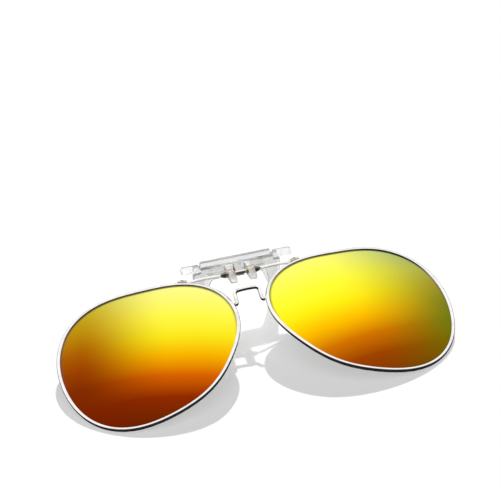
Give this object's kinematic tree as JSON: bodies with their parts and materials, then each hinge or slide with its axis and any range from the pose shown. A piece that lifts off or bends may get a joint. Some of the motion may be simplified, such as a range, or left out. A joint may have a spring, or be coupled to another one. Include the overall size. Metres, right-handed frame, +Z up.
{
  "type": "clip-on flip-up sunglass lenses",
  "caption": "Aviator sunglass lenses in a thin wire front, hinged by an axle on a clear sprung clip that grips a pair of spectacles and lets the lenses flip up.",
  "frame": {"origin": "on the table under the middle of the object's bounding box, as it stands on its rims' lower edges and its clip's front leg tips, lenses flipped up", "axes": "+X across the face towards the wearer's left lens as seen from the lenses' front, +Y from the lenses' lower edges to the clip, +Z up"},
  "size_m": [0.1354, 0.062, 0.023],
  "materials": {
    "rim": "polished silver plating",
    "wire": "polished silver plating",
    "lens": "gold to red-orange mirror coat on a polarised plastic lens",
    "clip": "clear polycarbonate",
    "pad": "clear soft silicone",
    "bush": "turned brass",
    "spring_steel": "bright spring steel"
  },
  "bodies": {
    "front_jaw": {"front_jaw": "clip", "ear_bush_right": "bush", "ear_bush_left": "bush", "detent_leaf": "spring_steel", "detent_rivet": "spring_steel", "pivot_pin": "spring_steel", "torsion_spring": "spring_steel", "front_pad_right": "pad", "front_pad_left": "pad"},
    "lens_front": {"rim_right": "rim", "rim_left": "rim", "tinted_lens_right": "lens", "tinted_lens_left": "lens", "rim_lock_right": "wire", "rim_lock_left": "wire", "rim_screw_right": "spring_steel", "rim_screw_left": "spring_steel", "top_arm_right": "wire", "top_arm_left": "wire", "axle_cap_right": "wire", "axle_cap_left": "wire", "bridge": "wire", "axle": "wire"},
    "rear_jaw": {"rear_jaw": "clip", "rear_pad_right": "pad", "rear_pad_left": "pad"}
  },
  "joints": [
    {"name": "flip", "type": "hinge", "parent": "front_jaw", "child": "lens_front", "pos_m": [0, 0.01694, 0.02108], "axis": [1, 0, 0], "range_deg": [-20, 90]},
    {"name": "clamp", "type": "hinge", "parent": "front_jaw", "child": "rear_jaw", "pos_m": [0, 0.02433, 0.01829], "axis": [1, 0, 0], "range_deg": [0, 18], "stiffness_Nm_per_rad": 0.12, "springref_deg": -22.92, "deforming": ["torsion_spring"]}
  ]
}
